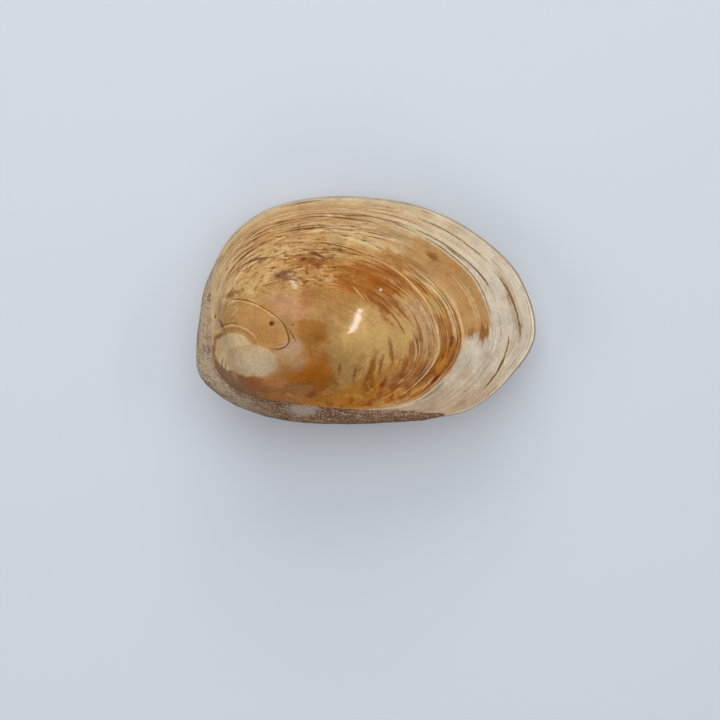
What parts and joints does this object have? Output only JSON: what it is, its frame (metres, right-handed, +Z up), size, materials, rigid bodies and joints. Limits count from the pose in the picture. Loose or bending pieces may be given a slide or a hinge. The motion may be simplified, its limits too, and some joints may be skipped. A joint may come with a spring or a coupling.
{
  "type": "fossil bivalve shell",
  "caption": "Closed fossil clam with both valves polished and a pad of hardened sediment left round the beaks, lying on one valve.",
  "frame": {"origin": "middle of the fossil in plan, on the surface it lies on", "axes": "+X towards the shell's rear end, +Y towards its free edge, away from the hinge, +Z up through the right valve"},
  "size_m": [0.0806, 0.0546, 0.0399],
  "materials": {
    "upper_shell": "polished",
    "lower_shell": "polished",
    "sediment": "dull"
  },
  "bodies": {
    "root": {"right_valve": "upper_shell", "left_valve": "lower_shell", "sediment_matrix": "sediment"}
  },
  "joints": []
}
